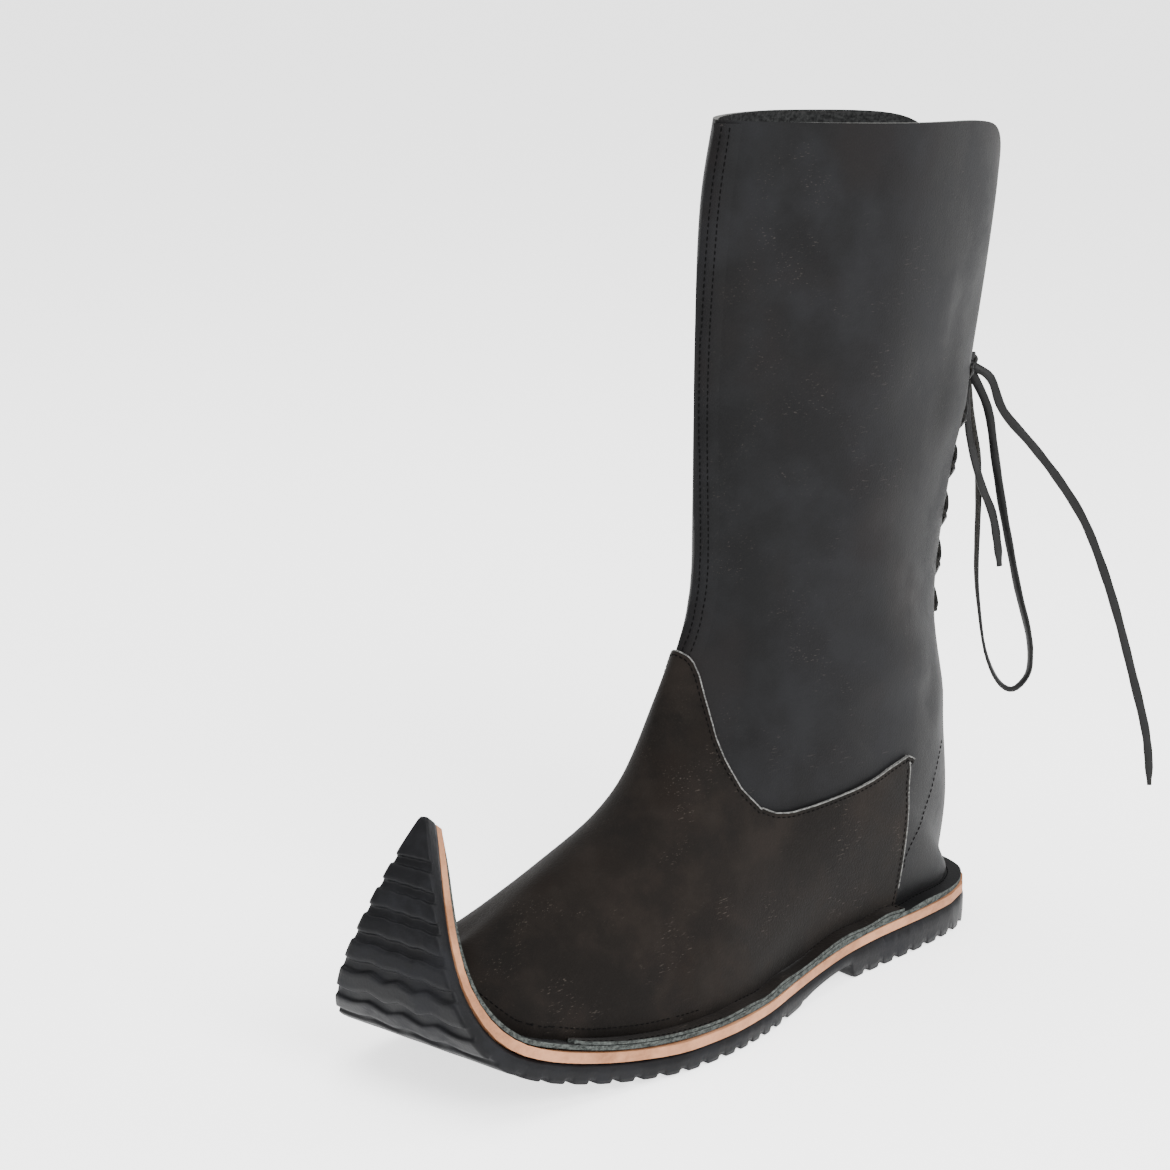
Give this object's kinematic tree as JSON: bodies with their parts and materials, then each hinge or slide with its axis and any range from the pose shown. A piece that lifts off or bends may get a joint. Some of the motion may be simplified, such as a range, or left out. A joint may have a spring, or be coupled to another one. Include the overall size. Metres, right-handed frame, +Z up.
{
  "type": "pointed back-laced boot",
  "caption": "Tall leather boot for the left foot with a long toe curled up to a point, a stitched-out flange, flat ribbed rubber sole and back lacing.",
  "frame": {"origin": "on the ground under the middle of the boot's box, its free lace apart", "axes": "+Z up along the shaft, -Y towards the toe, +X towards the outer side of the left foot"},
  "size_m": [0.1174, 0.4068, 0.371],
  "materials": {
    "rubber": "matt moulded rubber with wavy cross ribs",
    "tan_leather": "raw cut edge of a tan leather layer",
    "black_leather": "soft mottled black leather, slightly glossy",
    "brown_leather": "dark brown scuffed nubuck, matt",
    "lining_leather": "dark grey flesh side of the leather, matt",
    "lace_leather": "flat leather strap, smooth black face and grey flesh side"
  },
  "bodies": {
    "root": {"outsole": "rubber", "midsole": "tan_leather", "upper": "black_leather", "vamp": "brown_leather", "insole": "lining_leather", "lace_crossings": "lace_leather", "lace_knot": "lace_leather", "lace_loop": "lace_leather", "lace_end": "lace_leather", "lace_short_end": "lace_leather"}
  },
  "joints": []
}
